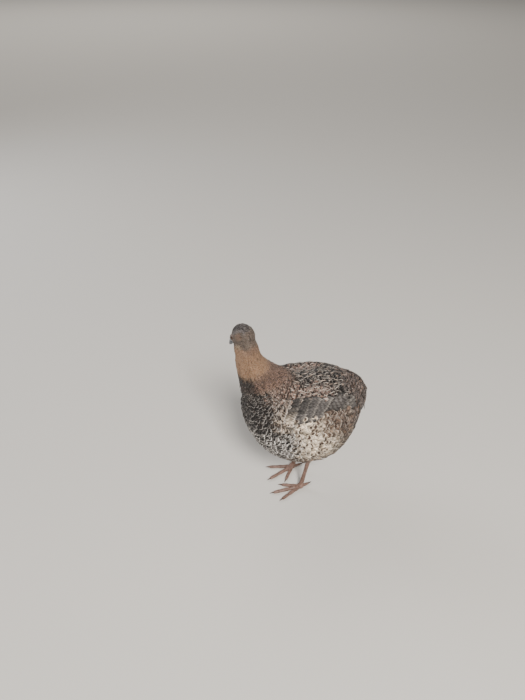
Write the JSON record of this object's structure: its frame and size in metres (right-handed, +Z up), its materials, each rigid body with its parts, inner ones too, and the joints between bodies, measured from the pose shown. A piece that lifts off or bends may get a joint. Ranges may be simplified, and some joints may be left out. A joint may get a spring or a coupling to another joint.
{
  "type": "coturnix quail hen, standing",
  "caption": "Life-size still model of a mottled brown coturnix quail hen standing with her head turned over the right shoulder.",
  "frame": {"origin": "on the floor, under the middle of the bird's outline seen from above", "axes": "-X the way the body faces, -Y her left side, +Z up"},
  "size_m": [0.1236, 0.088, 0.1906],
  "materials": {
    "body_feathers": "matte mottled plumage",
    "neck_feathers": "matte buff plumage",
    "head_feathers": "matte grey-brown plumage",
    "wing_feathers": "matte vermiculated plumage",
    "tail_feathers": "matte barred plumage",
    "bill_horn": "satin blue-grey horn",
    "eye": "wet gloss dark brown",
    "leg_skin": "satin scaled skin",
    "claw_horn": "satin brown horn"
  },
  "bodies": {
    "root": {"torso": "body_feathers", "neck": "neck_feathers", "tail": "tail_feathers", "head": "head_feathers", "bill_upper": "bill_horn", "bill_lower": "bill_horn", "eye_left": "eye", "eye_right": "eye", "wing_left": "wing_feathers", "wing_right": "wing_feathers", "thigh_left": "body_feathers", "thigh_right": "body_feathers", "shank_left": "leg_skin", "shank_right": "leg_skin", "toe_left_inner": "leg_skin", "toe_left_middle": "leg_skin", "toe_left_outer": "leg_skin", "toe_left_hind": "leg_skin", "toe_right_inner": "leg_skin", "toe_right_middle": "leg_skin", "toe_right_outer": "leg_skin", "toe_right_hind": "leg_skin", "claw_left_inner": "claw_horn", "claw_left_middle": "claw_horn", "claw_left_outer": "claw_horn", "claw_left_hind": "claw_horn", "claw_right_inner": "claw_horn", "claw_right_middle": "claw_horn", "claw_right_outer": "claw_horn", "claw_right_hind": "claw_horn"}
  },
  "joints": []
}
